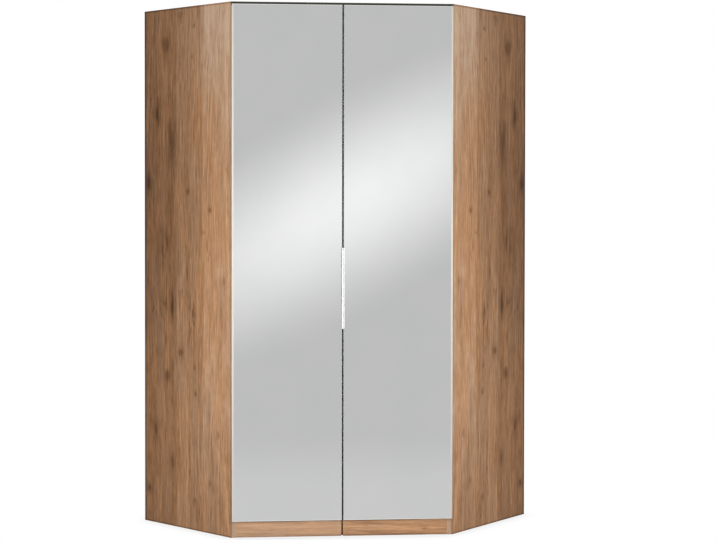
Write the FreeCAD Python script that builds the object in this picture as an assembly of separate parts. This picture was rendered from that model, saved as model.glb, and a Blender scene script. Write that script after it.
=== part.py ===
import FreeCAD, Part
import math
import os

os.makedirs("parts", exist_ok=True)

# Corner wardrobe with a diagonal front and two mirror doors. Millimetres, Z up, front facing -Y.

# Carcass
HEIGHT = 2160.0             # floor to the top edge of the side panels
WALL_LEG = 1155.0           # length taken up along each wall
FLANK_DEPTH = 518.0         # side panel, wall to its outer front corner
BOARD = 16.0                # every carcass and door board
EDGE_BAND = 1.0             # edging on the front of the top, base and shelf boards
PLINTH_HEIGHT = 64.0        # floor to the underside of the base boards
PLINTH_SETBACK = 4.0        # plinth behind the carcass front
PLINTH_GAP = 6.5            # slot between the two front plinth boards
CENTRE_RAIL_WIDTH = 32.0    # rail under the joint of the base boards
POST_WIDTH = 28.0           # square batten in the rear corner
HAT_SPACE = 316.0           # clear height above the hat shelf
SHELF_SETBACK = 40.0        # shelf front behind the carcass front
SHELF_SIDE_GAP = 0.5        # shelf end to side panel and post
SHELF_WALL_GAP = 2.5        # shelf to back sheet

# Back
BACK_SHEET = 3.0            # hardboard thickness
BACK_INSET = 1.5            # sheet inside the rear edge of the side panels
REBATE_WIDTH = 10.0         # rebate in the side panel for the sheet
SHEET_EDGE_GAP = 0.5        # sheet edge to the rebate wall, and to the ends of the boards
STRIP_WEB = 1.0             # joint strip between two sheets
STRIP_FLANGE = 10.0         # joint strip flange, either side of the web
STRIP_SKIN = 1.0            # joint strip flange thickness

# Doors
SIDE_REVEAL = 4.0           # door edge inside the outer front corner
TOP_REVEAL = 11.5           # door top below the carcass top
DOOR_OVERLAP = 10.0         # door bottom below the top of the base boards
DOOR_STANDOFF = 3.0         # door back in front of the carcass
DOOR_GAP = 5.0              # slot between the two doors
DOOR_CHAMFER = 2.0          # bevel on the hinge-side back edge of the door board
MIRROR_THICK = 4.0
MIRROR_INSET = 0.5          # mirror inside the door board at the top, bottom and slot
MIRROR_BEVEL = 1.5          # polished edge of the glass
TAPE_THICK = 1.0            # mirror mounting tape
TAPE_WIDTH = 25.0
TAPE_COUNT = 4
TAPE_INSET = 20.0           # tape inside the mirror outline
TRIM_SKIN = 1.0             # aluminium edge trim, metal thickness on the door edge
TRIM_FACE = 7.0             # aluminium edge trim, width seen from the front
TRIM_FACE_SKIN = 1.2        # aluminium edge trim, metal thickness over the mirror
TRIM_BACK_GAP = 2.0         # trim edge to the back of the door
GLASS_GAP = 0.3             # mirror edge to the trim

# Handles
HANDLE_LENGTH = 325.0
HANDLE_CENTRE = 1009.5      # middle of the handle above the floor
HANDLE_SKIN = 1.5           # metal thickness
HANDLE_LIP = 5.0            # lip width seen from the front
HANDLE_GAP = 1.0            # between the lips of the two handles
HANDLE_REACH = 16.0         # finger space between mirror and lip
HANDLE_FALL = 0.3           # lip edge behind the front of the handle
HANDLE_ROUND = 0.6          # rounding of the long lip edges
HANDLE_SCREWS = 3
HANDLE_SCREW_INSET = 30.0   # end screws from the handle ends

# Hinges
HINGE_COUNT = 4
HINGE_END = 100.0           # first and last hinge from the door ends
HINGE_SETBACK = 37.0        # plate screws behind the front edge of the side panel
CUP_RADIUS = 17.5
CUP_WALL = 0.9
CUP_SKIN = 2.9              # board left in front of the cup
CUP_EDGE = 3.3              # cup to the outer edge of the door
CUP_FLANGE = 1.0            # flange thickness
CUP_FLANGE_LIP = 0.4        # flange ring beyond the cup
CUP_SCREW_SPREAD = 24.0     # cup screws above and below the cup centre
CUP_SCREW_OFFSET = 6.0      # cup screws further from the door edge
CUP_EAR = 6.0               # flange round each cup screw
CUP_PLAY = 0.1              # pocket round the cup
PIN_RADIUS = 1.5
PIN_EDGE = 8.0              # pin to the outer edge of the door
PIN_FIT = 0.05              # running fit of the arm on the pin
KNUCKLE_RADIUS = 2.8
KNUCKLE_FLOOR_GAP = 0.9     # knuckle to the floor of the cup
ARM_WIDTH = 8.0             # hinge arm, vertical
ARM_THICK = 3.0
ARM_TURN = 15.5             # neck of the arm beyond the pin
ARM_OVERRUN = 23.0          # arm behind the plate screws
ARM_SCREW_BACK = 17.0       # arm screw behind the plate screws
CHEEK_GAP = 0.5             # knuckle to the cheeks
CHEEK_THICK = 3.0
CHEEK_REACH = 3.5           # cheek round the pin
PLATE_FRONT = 15.0          # hinge plate ahead of its screws
PLATE_BACK = 25.0           # hinge plate behind its screws
PLATE_HALF = 8.0            # half height of the plate body
PLATE_THICK = 4.8
WING_HALF = 8.0             # half width of the plate wings
WING_SPREAD = 16.0          # plate screws above and below the middle
WING_THICK = 2.5
WING_EDGE = 7.0             # wing beyond its screw

# Hanging rail
RAIL_LENGTH = 1100.0
RAIL_DEPTH = 330.0          # rail behind the carcass front
RAIL_DROP = 62.0            # rail centre below the shelf
RAIL_HALF_WIDTH = 7.5
RAIL_HALF_HEIGHT = 15.0
RAIL_WALL = 1.0
RAIL_PLAY = 0.1             # sleeve round the rail, plug in the rail
HANGER_INSET = 60.0         # end hangers from the rail ends
HANGER_WIDTH = 14.0
HANGER_SKIN = 2.2
HANGER_BASE_LENGTH = 60.0
HANGER_BASE_WIDTH = 26.0
HANGER_BASE_THICK = 2.5
HANGER_SCREW_SPREAD = 22.0  # hanger screws either side of the middle
CAP_THICK = 3.0
CAP_LIP = 0.6
CAP_PLUG = 12.0

# Fittings and fasteners
DRILL = 0.2                 # drilled hole beyond its fastener
SCREW_RADIUS = 1.75
SCREW_LENGTH = 12.0
SCREW_HEAD_RADIUS = 3.4
SCREW_HEAD = 2.0
EDGE_SCREW_RADIUS = 1.5
EDGE_SCREW_LENGTH = 18.0
EDGE_SCREW_HEAD_RADIUS = 3.0
EDGE_SCREW_HEAD = 1.0
CONNECTOR_RADIUS = 3.0
CONNECTOR_LENGTH = 50.0
CONNECTOR_HEAD_RADIUS = 5.0
CONNECTOR_HEAD = 3.0
CONNECTOR_SPREAD = 8.0      # connector screws either side of the centre joint
DOWEL_RADIUS = 4.0
DOWEL_SIDE = 10.0           # dowel in the side panel
DOWEL_BOARD = 22.0          # dowel in the joined board
CAM_RADIUS = 7.5
CAM_DEPTH = 12.5
CAM_REACH = 34.0            # cam centre from the side panel
BOLT_RADIUS = 3.0
BOLT_SIDE = 10.0            # cam bolt in the side panel
BOLT_SHORT = 3.0            # cam bolt short of the cam centre
CAM_FRONT = 60.0            # front cam behind the outer front corner
CAM_REAR = 80.0             # rear cam from the wall
DOWEL_STEP = 48.0           # dowel beside each cam
PIN_PEG_RADIUS = 2.5        # shelf pin
PIN_PEG_IN = 9.0
PIN_PEG_OUT = 9.0
PEG_FRONT = 90.0            # front shelf pin behind the outer front corner
PEG_REAR = 110.0            # rear shelf pin from the wall
NAIL_RADIUS = 0.8
NAIL_LENGTH = 20.0
NAIL_HEAD_RADIUS = 1.7
NAIL_HEAD = 0.8
NAIL_ROWS = 6               # nails up the side panel and up the post
NAIL_COLUMNS = 3            # nails along the top and base, per sheet
NAIL_END = 60.0             # first and last nail from the sheet ends
POST_NAIL = 7.0             # nail inside the face of the post
JOINT_PLATE_LENGTH = 70.0
JOINT_PLATE_WIDTH = 36.0
JOINT_PLATE_THICK = 2.0
JOINT_SCREW_X = 22.0
JOINT_SCREW_Y = 9.0
DOWEL_SHARES = (0.25, 0.5, 0.75)
PLATE_SHARES = (0.125, 0.375, 0.625, 0.875)
SHELF_PLATE_SHARES = (0.125, 0.625, 0.875)
BRACKET_LEG = 20.0
BRACKET_SKIN = 4.0
BRACKET_WIDTH = 30.0
BRACKET_SCREW = 12.5        # bracket screw from the corner
FRONT_BRACKET_SHARES = (0.3, 0.75)
REAR_BRACKET_SHARES = (0.25, 0.75)
WALL_BRACKET_SHARE = 0.2    # along the wall from the side panel
WALL_BRACKET_WIDTH = 36.0
WALL_BRACKET_LEG = 44.0
WALL_BRACKET_SKIN = 2.0
WALL_BRACKET_SCREW = 24.0
WALL_BRACKET_SPREAD = 10.0
WALL_HOLE_RADIUS = 2.75
WALL_HOLE_DROP = 28.0       # wall screw below the top board
BUMPER_RADIUS = 2.2
BUMPER_THICK = 2.5
BUMPER_INSET = 60.0         # bumper from the slot between the doors

# Derived sizes
ROOT2 = math.sqrt(2.0)
DIAG = 1.0 / ROOT2
FRONT_WIDTH = (WALL_LEG - FLANK_DEPTH) * ROOT2
BACK_SEAT = BACK_SHEET + BACK_INSET
MIRROR_BACK = DOOR_STANDOFF + BOARD + TAPE_THICK
MIRROR_FRONT = MIRROR_BACK + MIRROR_THICK
HANDLE_FRONT = MIRROR_FRONT + HANDLE_REACH + HANDLE_SKIN
REAR_DEPTH = (WALL_LEG + FLANK_DEPTH - 2 * BACK_INSET) * DIAG
FRONT_Y = (HANDLE_FRONT - REAR_DEPTH) / 2
BASE_TOP = PLINTH_HEIGHT + BOARD
TOP_UNDER = HEIGHT - BOARD
SHELF_UNDER = TOP_UNDER - HAT_SPACE - BOARD
DOOR_BOTTOM = BASE_TOP - DOOR_OVERLAP
DOOR_TOP = HEIGHT - TOP_REVEAL
WALL_LINE = FLANK_DEPTH - BACK_SEAT
CORNER_LINE = WALL_LEG - BACK_SEAT
CUP_U = SIDE_REVEAL + CUP_EDGE + CUP_RADIUS
CUP_DEPTH = BOARD - CUP_SKIN
PIN_U = SIDE_REVEAL + PIN_EDGE
PIN_DEPTH = CUP_DEPTH - CUP_WALL - KNUCKLE_RADIUS - KNUCKLE_FLOOR_GAP
PIN_V = -DOOR_STANDOFF - PIN_DEPTH
CHEEK_IN = ARM_WIDTH / 2 + CHEEK_GAP
PLATE_A = HINGE_SETBACK - BOARD
RAIL_Z = SHELF_UNDER - RAIL_DROP

UP = FreeCAD.Vector(0, 0, 1)
DOWN = FreeCAD.Vector(0, 0, -1)
FORWARD = FreeCAD.Vector(0, -1, 0)
BACKWARD = FreeCAD.Vector(0, 1, 0)
RIGHTWARD = FreeCAD.Vector(1, 0, 0)
LEFTWARD = FreeCAD.Vector(-1, 0, 0)
TO_WALL = FreeCAD.Vector(-DIAG, DIAG, 0)
FROM_WALL = FreeCAD.Vector(DIAG, -DIAG, 0)
ALONG_WALL = FreeCAD.Vector(DIAG, DIAG, 0)
OFF_WALL_SIDE = FreeCAD.Vector(-DIAG, -DIAG, 0)


def wall_point(a, b):
    """Left half in plan: a runs back along the side panel, b runs in along the wall."""
    return (-FRONT_WIDTH / 2 + (b - a) * DIAG, FRONT_Y + (a + b) * DIAG)


def front_point(u, v):
    """Left half in plan: u runs in from the outer front corner, v runs back from the carcass front."""
    return (-FRONT_WIDTH / 2 + u, FRONT_Y + v)


def side_line(v, b):
    """Where a line parallel to the front, v behind it, meets the line b inside the side panel."""
    return wall_point(v * ROOT2 - b, b)


def at(point, z):
    return FreeCAD.Vector(point[0], point[1], z)


def prism(points, low, high):
    corners = [at(point, low) for point in points]
    outline = Part.makePolygon(corners + corners[:1])
    return Part.Face(outline).extrude(FreeCAD.Vector(0, 0, high - low))


def wall_block(a0, a1, b0, b1, low, high):
    corners = [wall_point(a0, b0), wall_point(a1, b0), wall_point(a1, b1), wall_point(a0, b1)]
    return prism(corners, low, high)


def front_block(u0, u1, v0, v1, low, high):
    corners = [front_point(u0, v0), front_point(u1, v0), front_point(u1, v1), front_point(u0, v1)]
    return prism(corners, low, high)


def flipped(shape):
    return shape.mirror(FreeCAD.Vector(0, 0, 0), RIGHTWARD)


def flipped_spots(spots):
    return [(FreeCAD.Vector(-p.x, p.y, p.z), FreeCAD.Vector(-d.x, d.y, d.z)) for p, d in spots]


def both_sides(shapes):
    return shapes + [flipped(shape) for shape in shapes]


def fused(shapes):
    return shapes[0].multiFuse(shapes[1:]).removeSplitter()


def without(shape, tools):
    return shape.cut(Part.makeCompound(tools))


def save(name, shapes):
    Part.makeCompound(shapes).exportStep("parts/" + name + ".step")


def screw(spot):
    point, way = spot
    head = Part.makeCylinder(SCREW_HEAD_RADIUS, SCREW_HEAD, point - way * SCREW_HEAD, way)
    return fused([head, Part.makeCylinder(SCREW_RADIUS, SCREW_LENGTH, point, way)])


def screw_hole(spot):
    point, way = spot
    return Part.makeCylinder(SCREW_RADIUS + DRILL, SCREW_LENGTH + DRILL, point, way)


def connector(spot, play=0.0):
    point, way = spot
    head = Part.makeCylinder(CONNECTOR_HEAD_RADIUS + play, CONNECTOR_HEAD + play, point, way)
    return fused([head, Part.makeCylinder(CONNECTOR_RADIUS + play, CONNECTOR_LENGTH + play, point, way)])


def nail(spot, play=0.0):
    point, way = spot
    head = Part.makeCylinder(NAIL_HEAD_RADIUS + play, NAIL_HEAD, point, way)
    return fused([head, Part.makeCylinder(NAIL_RADIUS + play, NAIL_LENGTH + play, point, way)])


def rod(spot, radius, length):
    return Part.makeCylinder(radius, length, spot[0], spot[1])


def spread(first, last, count):
    return [first + (last - first) * step / (count - 1) for step in range(count)]


def oval(x0, x1, grow):
    """Flat-sided tube section round the hanging rail's centre line, running along X."""
    half = RAIL_HALF_WIDTH + grow
    rise = RAIL_HALF_HEIGHT - RAIL_HALF_WIDTH
    y = FRONT_Y + RAIL_DEPTH
    ends = [Part.makeCylinder(half, x1 - x0, FreeCAD.Vector(x0, y, RAIL_Z + side * rise), RIGHTWARD)
            for side in (-1, 1)]
    middle = Part.makeBox(x1 - x0, 2 * half, 2 * rise, FreeCAD.Vector(x0, y - half, RAIL_Z - rise))
    return fused(ends + [middle])


# Fastener places, left half

board_levels = ((PLINTH_HEIGHT, UP), (HEIGHT, DOWN))
joint_length = (WALL_LEG + FLANK_DEPTH) * DIAG - BACK_SEAT * ROOT2
cam_rows = (CAM_FRONT, FLANK_DEPTH - CAM_REAR)
dowel_rows = (CAM_FRONT + DOWEL_STEP, FLANK_DEPTH - CAM_REAR - DOWEL_STEP)

cam_spots = []
bolt_spots = []
dowel_spots = []
for face, inward in board_levels:
    middle = face + inward.z * BOARD / 2
    for a in cam_rows:
        cam_spots.append((at(wall_point(a, BOARD + CAM_REACH), face), inward))
        bolt_spots.append((at(wall_point(a, BOARD - BOLT_SIDE), middle), ALONG_WALL))
    for a in dowel_rows:
        dowel_spots.append((at(wall_point(a, BOARD - DOWEL_SIDE), middle), ALONG_WALL))

bolt_length = BOLT_SIDE + CAM_REACH - BOLT_SHORT
dowel_length = DOWEL_SIDE + DOWEL_BOARD
cams = [without(rod(spot, CAM_RADIUS, CAM_DEPTH), [rod(bolt, BOLT_RADIUS + DRILL, bolt_length + DRILL)])
        for spot, bolt in zip(cam_spots, bolt_spots)]
bolts = [rod(spot, BOLT_RADIUS, bolt_length) for spot in bolt_spots]
side_dowels = [rod(spot, DOWEL_RADIUS, dowel_length) for spot in dowel_spots]
side_holes = [rod(spot, BOLT_RADIUS + DRILL, bolt_length + DRILL) for spot in bolt_spots]
side_holes += [rod((p - d * DRILL, d), DOWEL_RADIUS + DRILL, dowel_length + 2 * DRILL)
               for p, d in dowel_spots]
cam_pockets = [rod(spot, CAM_RADIUS + DRILL, CAM_DEPTH + DRILL) for spot in cam_spots]

# Fasteners on the centre joint

shelf_front = SHELF_SETBACK + EDGE_BAND
shelf_notch = CORNER_LINE - POST_WIDTH - SHELF_SIDE_GAP
shelf_joint = REAR_DEPTH - (BACK_SHEET + POST_WIDTH + SHELF_SIDE_GAP) * ROOT2 - shelf_front
joints = [(EDGE_BAND, joint_length - EDGE_BAND, PLINTH_HEIGHT + BOARD / 2),
          (EDGE_BAND, joint_length - EDGE_BAND, TOP_UNDER + BOARD / 2),
          (shelf_front, shelf_joint, SHELF_UNDER + BOARD / 2)]
joint_dowel_spots = []
for start, length, z in joints:
    for share in DOWEL_SHARES:
        y = FRONT_Y + start + length * share
        joint_dowel_spots.append((FreeCAD.Vector(-dowel_length / 2, y, z), RIGHTWARD))
joint_dowels = [rod(spot, DOWEL_RADIUS, dowel_length) for spot in joint_dowel_spots]
joint_dowel_holes = [rod((p - d * DRILL, d), DOWEL_RADIUS + DRILL, dowel_length + 2 * DRILL)
                     for p, d in joint_dowel_spots]

plate_rows = [(FRONT_Y + EDGE_BAND + (joint_length - EDGE_BAND) * share, TOP_UNDER) for share in PLATE_SHARES]
plate_rows += [(FRONT_Y + shelf_front + shelf_joint * share, SHELF_UNDER) for share in SHELF_PLATE_SHARES]
joint_plates = []
joint_plate_screws = []
for y, z in plate_rows:
    corner = FreeCAD.Vector(-JOINT_PLATE_LENGTH / 2, y - JOINT_PLATE_WIDTH / 2, z - JOINT_PLATE_THICK)
    joint_plates.append(Part.makeBox(JOINT_PLATE_LENGTH, JOINT_PLATE_WIDTH, JOINT_PLATE_THICK, corner))
    for side_x in (-JOINT_SCREW_X, JOINT_SCREW_X):
        for side_y in (-JOINT_SCREW_Y, JOINT_SCREW_Y):
            joint_plate_screws.append((FreeCAD.Vector(side_x, y + side_y, z - JOINT_PLATE_THICK), UP))

# Hanging rail and its hangers

rail_half = RAIL_LENGTH / 2
hanger_rows = (-(rail_half - HANGER_INSET), 0.0, rail_half - HANGER_INSET)
rail = oval(-rail_half, rail_half, 0.0).cut(oval(-rail_half, rail_half, -RAIL_WALL))
hangers = []
hanger_screws = []
for x in hanger_rows:
    y = FRONT_Y + RAIL_DEPTH
    base = Part.makeBox(HANGER_BASE_LENGTH, HANGER_BASE_WIDTH, HANGER_BASE_THICK,
                        FreeCAD.Vector(x - HANGER_BASE_LENGTH / 2, y - HANGER_BASE_WIDTH / 2,
                                       SHELF_UNDER - HANGER_BASE_THICK))
    low = RAIL_Z + RAIL_HALF_HEIGHT
    neck = Part.makeBox(HANGER_WIDTH, HANGER_SKIN * 2, SHELF_UNDER - low,
                        FreeCAD.Vector(x - HANGER_WIDTH / 2, y - HANGER_SKIN, low))
    sleeve = oval(x - HANGER_WIDTH / 2, x + HANGER_WIDTH / 2, HANGER_SKIN)
    channel = oval(x - HANGER_WIDTH / 2, x + HANGER_WIDTH / 2, RAIL_PLAY)
    spots = [(FreeCAD.Vector(x + side * HANGER_SCREW_SPREAD, y, SHELF_UNDER - HANGER_BASE_THICK), UP)
             for side in (-1, 1)]
    hanger_screws += spots
    hangers.append(without(fused([base, neck, sleeve]), [channel] + [screw_hole(spot) for spot in spots]))
rail_caps = []
for end, way in ((-rail_half, -1), (rail_half, 1)):
    flange = oval(min(end, end + way * CAP_THICK), max(end, end + way * CAP_THICK), CAP_LIP)
    plug = oval(min(end, end - way * CAP_PLUG), max(end, end - way * CAP_PLUG), -RAIL_WALL - RAIL_PLAY)
    rail_caps.append(fused([flange, plug]))

# Connector screws: base boards to the centre rail, post to the base and top boards

post_y = wall_point(WALL_LINE - POST_WIDTH / 2, CORNER_LINE - POST_WIDTH / 2)[1]
connector_spots = []
for side in (-CONNECTOR_SPREAD, CONNECTOR_SPREAD):
    for share in PLATE_SHARES:
        y = FRONT_Y + EDGE_BAND + (joint_length - EDGE_BAND) * share
        connector_spots.append((FreeCAD.Vector(side, y, BASE_TOP), DOWN))
    connector_spots.append((FreeCAD.Vector(side, post_y, PLINTH_HEIGHT), UP))
    connector_spots.append((FreeCAD.Vector(side, post_y, HEIGHT), DOWN))
connectors = [connector(spot) for spot in connector_spots]
connector_holes = [connector(spot, DRILL) for spot in connector_spots]

# Angle brackets holding the plinth boards to the base boards

bracket_outline = [(0, 0), (BRACKET_LEG, 0), (BRACKET_LEG, -BRACKET_SKIN), (BRACKET_SKIN, -BRACKET_SKIN),
                   (BRACKET_SKIN, -BRACKET_LEG), (0, -BRACKET_LEG)]


def angle_bracket(point, out, run):
    """Bracket under a board: one leg on the upright plinth face, one leg under the base board."""
    start = at(point, PLINTH_HEIGHT) - run * (BRACKET_WIDTH / 2)
    corners = [start + out * x + UP * z for x, z in bracket_outline]
    body = Part.Face(Part.makePolygon(corners + corners[:1])).extrude(run * BRACKET_WIDTH)
    spots = [(at(point, PLINTH_HEIGHT - BRACKET_SCREW) + out * BRACKET_SKIN, out * -1),
             (at(point, PLINTH_HEIGHT - BRACKET_SKIN) + out * BRACKET_SCREW, UP)]
    return without(body, [screw_hole(spot) for spot in spots]), spots


plinth_back = PLINTH_SETBACK + BOARD
front_run = FRONT_WIDTH / 2 - BOARD * ROOT2
rear_face = WALL_LINE - BOARD
brackets = []
bracket_screws = []
for share in FRONT_BRACKET_SHARES:
    place = (-front_run * share, FRONT_Y + plinth_back)
    body, spots = angle_bracket(place, BACKWARD, RIGHTWARD)
    brackets.append(body)
    bracket_screws += spots
for share in REAR_BRACKET_SHARES:
    place = wall_point(rear_face, BOARD + (CORNER_LINE - BOARD) * share)
    body, spots = angle_bracket(place, FROM_WALL, ALONG_WALL)
    brackets.append(body)
    bracket_screws += spots

# Wall brackets under the top boards

wall_b = BOARD + (CORNER_LINE - BOARD) * WALL_BRACKET_SHARE
wall_bracket = fused([
    wall_block(WALL_LINE - WALL_BRACKET_SKIN, WALL_LINE, wall_b - WALL_BRACKET_WIDTH / 2,
               wall_b + WALL_BRACKET_WIDTH / 2, TOP_UNDER - WALL_BRACKET_LEG, TOP_UNDER),
    wall_block(WALL_LINE - WALL_BRACKET_LEG, WALL_LINE, wall_b - WALL_BRACKET_WIDTH / 2,
               wall_b + WALL_BRACKET_WIDTH / 2, TOP_UNDER - WALL_BRACKET_SKIN, TOP_UNDER)])
wall_bracket_screws = [(at(wall_point(WALL_LINE - WALL_BRACKET_SCREW, wall_b + side * WALL_BRACKET_SPREAD),
                           TOP_UNDER - WALL_BRACKET_SKIN), UP) for side in (-1, 1)]
wall_hole = rod((at(wall_point(WALL_LINE - WALL_BRACKET_SKIN, wall_b), TOP_UNDER - WALL_HOLE_DROP), TO_WALL),
                WALL_HOLE_RADIUS, WALL_BRACKET_SKIN + BACK_SHEET)
wall_bracket = without(wall_bracket, [wall_hole] + [screw_hole(spot) for spot in wall_bracket_screws])

# Nails through the back sheets

strip_b = (BOARD + CORNER_LINE) / 2
sheet_low = PLINTH_HEIGHT + SHEET_EDGE_GAP
sheet_high = HEIGHT - SHEET_EDGE_GAP
sheet_start = BOARD - REBATE_WIDTH + SHEET_EDGE_GAP
side_nail_b = BOARD - REBATE_WIDTH / 2
post_face = CORNER_LINE - POST_WIDTH
post_nail_b = post_face + POST_NAIL
nail_face = FLANK_DEPTH - BACK_INSET
nail_places = []
for z in spread(BASE_TOP + NAIL_END, TOP_UNDER - NAIL_END, NAIL_ROWS):
    nail_places += [(side_nail_b, z), (post_nail_b, z)]
nail_columns = spread(BOARD + NAIL_END, strip_b - NAIL_END, NAIL_COLUMNS)
nail_columns += spread(strip_b + NAIL_END, post_nail_b - NAIL_END, NAIL_COLUMNS)
for b in nail_columns:
    nail_places += [(b, PLINTH_HEIGHT + BOARD / 2), (b, HEIGHT - BOARD / 2)]
nail_spots = [(at(wall_point(nail_face, b), z), FROM_WALL) for b, z in nail_places]
nails = [nail(spot) for spot in nail_spots]
nail_holes = [nail(spot, DRILL) for spot in nail_spots]

# Shelf pins

peg_z = SHELF_UNDER - PIN_PEG_RADIUS
peg_spots = [(at(wall_point(a, BOARD - PIN_PEG_IN), peg_z), ALONG_WALL)
             for a in (PEG_FRONT, FLANK_DEPTH - PEG_REAR)]
peg_spots.append((at(wall_point(WALL_LINE - POST_WIDTH / 2, post_face + PIN_PEG_IN), peg_z), OFF_WALL_SIDE))
peg_length = PIN_PEG_IN + PIN_PEG_OUT
pegs = [rod(spot, PIN_PEG_RADIUS, peg_length) for spot in peg_spots]
peg_holes = [rod((p - d * DRILL, d), PIN_PEG_RADIUS + DRILL, peg_length) for p, d in peg_spots]

# Hinges, left half

hinge_rows = spread(DOOR_BOTTOM + HINGE_END, DOOR_TOP - HINGE_END, HINGE_COUNT)
neck_u = PIN_U + ARM_TURN
arm_b = BOARD + PLATE_THICK + ARM_THICK / 2
turn_v = arm_b * ROOT2 - neck_u
arm_end = PLATE_A + ARM_OVERRUN
arm_a = (turn_v - neck_u) * DIAG
half_thick = ARM_THICK / 2


def hinge_arm(z):
    low = z - ARM_WIDTH / 2
    high = z + ARM_WIDTH / 2
    pin = front_point(PIN_U, PIN_V)
    knuckle = Part.makeCylinder(KNUCKLE_RADIUS, ARM_WIDTH, at(pin, low), UP)
    reach = front_block(PIN_U, neck_u + half_thick, PIN_V - half_thick, PIN_V + half_thick, low, high)
    neck = front_block(neck_u - half_thick, neck_u + half_thick, PIN_V - half_thick, turn_v, low, high)
    bend = Part.makeCylinder(half_thick, ARM_WIDTH, at(front_point(neck_u, turn_v), low), UP)
    tail = wall_block(arm_a, arm_end, arm_b - half_thick, arm_b + half_thick, low, high)
    bore = Part.makeCylinder(PIN_RADIUS + PIN_FIT, ARM_WIDTH, at(pin, low), UP)
    return fused([knuckle, reach, neck, bend, tail]).cut(bore)


def hinge_plate(z):
    body = wall_block(PLATE_A - PLATE_FRONT, PLATE_A + PLATE_BACK, BOARD, BOARD + PLATE_THICK,
                      z - PLATE_HALF, z + PLATE_HALF)
    wing = WING_SPREAD + WING_EDGE
    wings = wall_block(PLATE_A - WING_HALF, PLATE_A + WING_HALF, BOARD, BOARD + WING_THICK,
                       z - wing, z + wing)
    return fused([body, wings])


def hinge_cup(z):
    centre = at(front_point(CUP_U, -DOOR_STANDOFF), z)
    shell = Part.makeCylinder(CUP_RADIUS, CUP_DEPTH, centre, FORWARD)
    rim = Part.makeCylinder(CUP_RADIUS + CUP_FLANGE_LIP, CUP_FLANGE, centre, BACKWARD)
    ear = CUP_SCREW_SPREAD + CUP_EAR
    ears = front_block(CUP_U + CUP_SCREW_OFFSET - CUP_EAR, CUP_U + CUP_SCREW_OFFSET + CUP_EAR,
                       -DOOR_STANDOFF, -DOOR_STANDOFF + CUP_FLANGE, z - ear, z + ear)
    hollow = Part.makeCylinder(CUP_RADIUS - CUP_WALL, CUP_DEPTH - CUP_WALL + CUP_FLANGE,
                               centre + BACKWARD * CUP_FLANGE, FORWARD)
    core = Part.makeCylinder(CUP_RADIUS - CUP_WALL / 2, CUP_DEPTH - CUP_WALL / 2, centre, FORWARD)
    cheeks = [front_block(CUP_U - CUP_RADIUS, PIN_U + CHEEK_REACH, -DOOR_STANDOFF - CUP_DEPTH,
                          PIN_V + CHEEK_REACH, z + side * (CHEEK_IN + CHEEK_THICK / 2) - CHEEK_THICK / 2,
                          z + side * (CHEEK_IN + CHEEK_THICK / 2) + CHEEK_THICK / 2).common(core)
              for side in (-1, 1)]
    return fused([fused([shell, rim, ears]).cut(hollow)] + cheeks)


pin_length = 2 * (CHEEK_IN + CHEEK_THICK)
arms = [hinge_arm(z) for z in hinge_rows]
plates = [hinge_plate(z) for z in hinge_rows]
cups = [hinge_cup(z) for z in hinge_rows]
pins = []
arm_screw_spots = []
plate_screw_spots = []
cup_screw_spots = []
cup_pockets = []
for z in hinge_rows:
    pin_foot = at(front_point(PIN_U, PIN_V), z - pin_length / 2)
    pins.append(Part.makeCylinder(PIN_RADIUS, pin_length, pin_foot, UP))
    arm_top = wall_point(PLATE_A + ARM_SCREW_BACK, arm_b + half_thick)
    arm_screw_spots.append((at(arm_top, z), OFF_WALL_SIDE))
    for side in (-1, 1):
        wing_spot = wall_point(PLATE_A, BOARD + WING_THICK)
        plate_screw_spots.append((at(wing_spot, z + side * WING_SPREAD), OFF_WALL_SIDE))
        cup_spot = front_point(CUP_U + CUP_SCREW_OFFSET, -DOOR_STANDOFF + CUP_FLANGE)
        cup_screw_spots.append((at(cup_spot, z + side * CUP_SCREW_SPREAD), FORWARD))
    cup_pockets.append(Part.makeCylinder(CUP_RADIUS + CUP_PLAY, CUP_DEPTH + CUP_PLAY,
                                         at(front_point(CUP_U, -DOOR_STANDOFF), z), FORWARD))
arm_screws = [screw(spot) for spot in arm_screw_spots]
arm_screw_holes = [screw_hole(spot) for spot in arm_screw_spots]
plate_screws = [screw(spot) for spot in plate_screw_spots]
plate_screw_holes = [screw_hole(spot) for spot in plate_screw_spots]
cup_screws = [screw(spot) for spot in cup_screw_spots]
cup_screw_holes = [screw_hole(spot) for spot in cup_screw_spots]
arms = [without(arm, arm_screw_holes) for arm in arms]
plates = [without(plate, plate_screw_holes + arm_screw_holes) for plate in plates]
cups = [without(cup, cup_screw_holes + pins) for cup in cups]

# Carcass boards, left half

flank = prism([wall_point(0, 0), wall_point(-BOARD, BOARD), wall_point(WALL_LINE, BOARD),
               wall_point(WALL_LINE, BOARD - REBATE_WIDTH), wall_point(FLANK_DEPTH, BOARD - REBATE_WIDTH),
               wall_point(FLANK_DEPTH, 0)], 0, HEIGHT)
flank = without(flank, side_holes + peg_holes + plate_screw_holes + arm_screw_holes + nail_holes)

joint_rear = wall_point(WALL_LINE, CORNER_LINE)
board_outline = [(0, FRONT_Y + EDGE_BAND), side_line(EDGE_BAND, BOARD), wall_point(WALL_LINE, BOARD),
                 joint_rear]
band_outline = [(0, FRONT_Y), side_line(0, BOARD), side_line(EDGE_BAND, BOARD), (0, FRONT_Y + EDGE_BAND)]
board_holes = side_holes + cam_pockets + joint_dowel_holes + connector_holes + nail_holes
bracket_holes = [screw_hole(spot) for spot in bracket_screws]
top_holes = [screw_hole(spot) for spot in joint_plate_screws + wall_bracket_screws]
base = without(prism(board_outline, PLINTH_HEIGHT, BASE_TOP), board_holes + bracket_holes)
top = without(prism(board_outline, TOP_UNDER, HEIGHT), board_holes + top_holes)

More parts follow.
